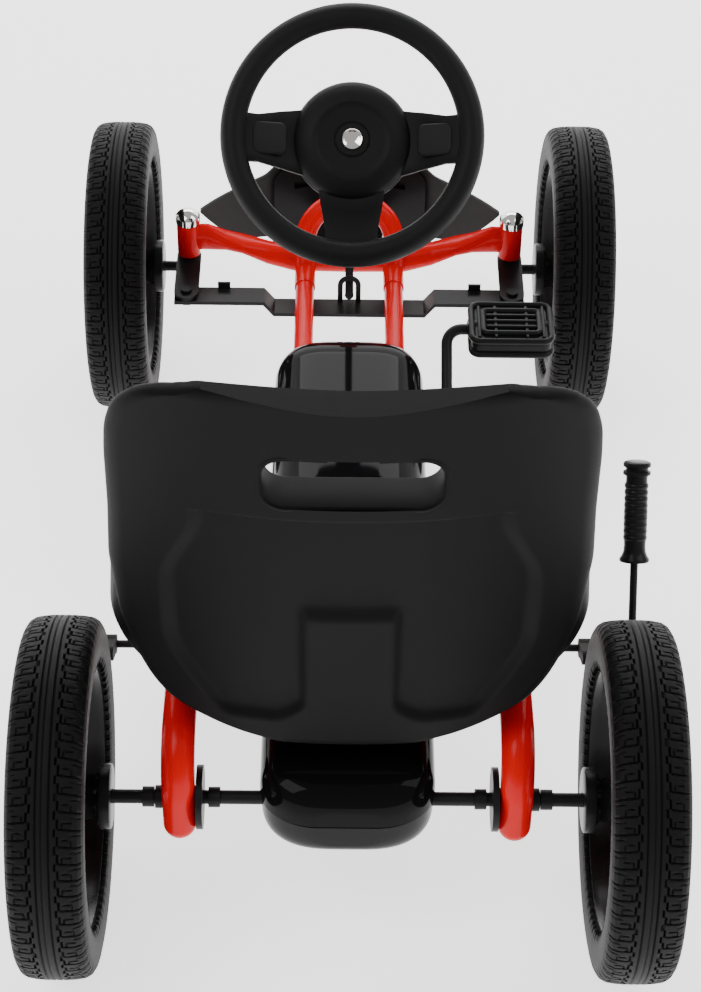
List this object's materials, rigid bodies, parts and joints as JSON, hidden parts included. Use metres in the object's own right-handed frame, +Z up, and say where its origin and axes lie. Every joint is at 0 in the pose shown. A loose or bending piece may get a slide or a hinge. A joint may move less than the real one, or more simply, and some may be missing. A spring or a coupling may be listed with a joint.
{
  "type": "pedal go-kart chassis",
  "caption": "Child's pedal kart: twin-tube steel frame, spoked wheels, bucket seat, crank and chain drive, link steering and a hand brake on the rear tyres.",
  "frame": {"origin": "on the ground, midway between the axles and between the left and right wheels", "axes": "+X to the driver's right, +Y forwards, +Z up"},
  "size_m": [0.498, 0.964, 0.5996],
  "materials": {
    "frame_red": "gloss red powder coat",
    "black_steel": "satin black powder coat",
    "case_gloss": "high gloss",
    "case_satin": "semi-gloss",
    "plain_steel": "plain zinc-plated steel",
    "bright_chrome": "polished",
    "fairing_grey": "fine matte grain",
    "fairing_dark": "semi-gloss",
    "seat_plastic": "fine moulded grain",
    "moulded_black": "fine matte grain",
    "rim_plastic": "satin",
    "tyre_foam": "matte foam rubber",
    "pedal_plastic": "ribbed, satin",
    "steering_plastic": "soft matte",
    "grip_rubber": "satin rubber",
    "pad_rubber": "matte rubber"
  },
  "bodies": {
    "root": {"main_tube_left": "frame_red", "main_tube_right": "frame_red", "steering_hoop": "frame_red", "front_beam": "frame_red", "kingpin_tube_left": "frame_red", "kingpin_tube_right": "frame_red", "column_tube": "frame_red", "rear_leg_left": "frame_red", "rear_leg_right": "frame_red", "rear_cross_tube": "frame_red", "seat_support": "frame_red", "seat_rails": "black_steel", "axle_bearing_left": "black_steel", "axle_bearing_right": "black_steel", "crank_bracket_left": "black_steel", "crank_bracket_right": "black_steel", "brake_brackets": "frame_red", "case_upper": "case_gloss", "case_lower": "case_satin", "case_screws": "plain_steel", "drive_chain": "plain_steel", "front_fairing": "fairing_grey", "fairing_insert": "fairing_dark", "fairing_brackets": "black_steel"},
    "seat": {"seat_shell": "seat_plastic", "seat_slides": "plain_steel", "seat_knobs": "moulded_black"},
    "rear_axle": {"rear_axle": "black_steel", "axle_sprocket": "plain_steel", "axle_spacers": "black_steel", "rear_nuts": "bright_chrome", "rear_rim_left": "rim_plastic", "rear_rim_right": "rim_plastic", "rear_tyre_left": "tyre_foam", "rear_tyre_right": "tyre_foam"},
    "crank": {"crank_shaft": "black_steel", "crank_sprocket": "plain_steel"},
    "pedal_left": {"pedal_left": "pedal_plastic"},
    "pedal_right": {"pedal_right": "pedal_plastic"},
    "steering": {"steering_column": "black_steel", "steering_wheel": "steering_plastic", "steering_hub": "steering_plastic", "hub_emblem": "bright_chrome", "spoke_pads": "moulded_black"},
    "knuckle_left": {"knuckle_left": "black_steel", "kingpin_cap_left": "bright_chrome", "link_bolt_left": "plain_steel", "front_nut_left": "bright_chrome"},
    "knuckle_right": {"knuckle_right": "black_steel", "kingpin_cap_right": "bright_chrome", "link_bolt_right": "plain_steel", "front_nut_right": "bright_chrome"},
    "tie_rod": {"tie_rod": "black_steel"},
    "front_wheel_left": {"front_rim_left": "rim_plastic", "front_tyre_left": "tyre_foam"},
    "front_wheel_right": {"front_rim_right": "rim_plastic", "front_tyre_right": "tyre_foam"},
    "brake": {"brake_rod": "black_steel", "brake_grip": "grip_rubber", "brake_pads": "pad_rubber"}
  },
  "joints": [
    {"name": "seat_adjust", "type": "slide", "parent": "root", "child": "seat", "axis": [0, 1, 0], "range_m": [-0.025, 0.025]},
    {"name": "rear_axle_spin", "type": "hinge", "parent": "root", "child": "rear_axle", "pos_m": [0, -0.342, 0.14], "axis": [1, 0, 0], "continuous": true},
    {"name": "crank_spin", "type": "hinge", "parent": "root", "child": "crank", "pos_m": [0, 0.084, 0.163], "axis": [1, 0, 0], "continuous": true},
    {"name": "pedal_left_spin", "type": "hinge", "parent": "crank", "child": "pedal_left", "pos_m": [-0.146, 0.01523, 0.11304], "axis": [1, 0, 0], "continuous": true},
    {"name": "pedal_right_spin", "type": "hinge", "parent": "crank", "child": "pedal_right", "pos_m": [0.146, 0.15277, 0.21296], "axis": [1, 0, 0], "continuous": true},
    {"name": "knuckle_left_turn", "type": "hinge", "parent": "root", "child": "knuckle_left", "pos_m": [-0.157, 0.342, 0.175], "axis": [0, 0, 1], "range_deg": [-20, 20]},
    {"name": "knuckle_right_turn", "type": "hinge", "parent": "root", "child": "knuckle_right", "pos_m": [0.157, 0.342, 0.175], "axis": [0, 0, 1], "range_deg": [-20, 20]},
    {"name": "steering_turn", "type": "hinge", "parent": "root", "child": "steering", "pos_m": [0, 0.145, 0.426], "axis": [0, -0.7373, 0.6756], "range_deg": [-11.38, 11.38]},
    {"name": "tie_rod_swing", "type": "hinge", "parent": "knuckle_left", "child": "tie_rod", "pos_m": [-0.157, 0.284, 0.1475], "axis": [0, 0, 1], "range_deg": [-20, 20]},
    {"name": "front_wheel_left_spin", "type": "hinge", "parent": "knuckle_left", "child": "front_wheel_left", "pos_m": [-0.22, 0.342, 0.14], "axis": [1, 0, 0], "continuous": true},
    {"name": "front_wheel_right_spin", "type": "hinge", "parent": "knuckle_right", "child": "front_wheel_right", "pos_m": [0.22, 0.342, 0.14], "axis": [1, 0, 0], "continuous": true},
    {"name": "brake_pull", "type": "hinge", "parent": "root", "child": "brake", "pos_m": [0, -0.167, 0.129], "axis": [1, 0, 0], "range_deg": [0, 13]}
  ],
  "couplings": [
    {"joint": "crank_spin", "follows": "rear_axle_spin", "ratio": 0.61111},
    {"joint": "knuckle_right_turn", "follows": "knuckle_left_turn", "ratio": 1},
    {"joint": "steering_turn", "follows": "knuckle_left_turn", "ratio": 0.5664},
    {"joint": "tie_rod_swing", "follows": "knuckle_left_turn", "ratio": -1}
  ]
}
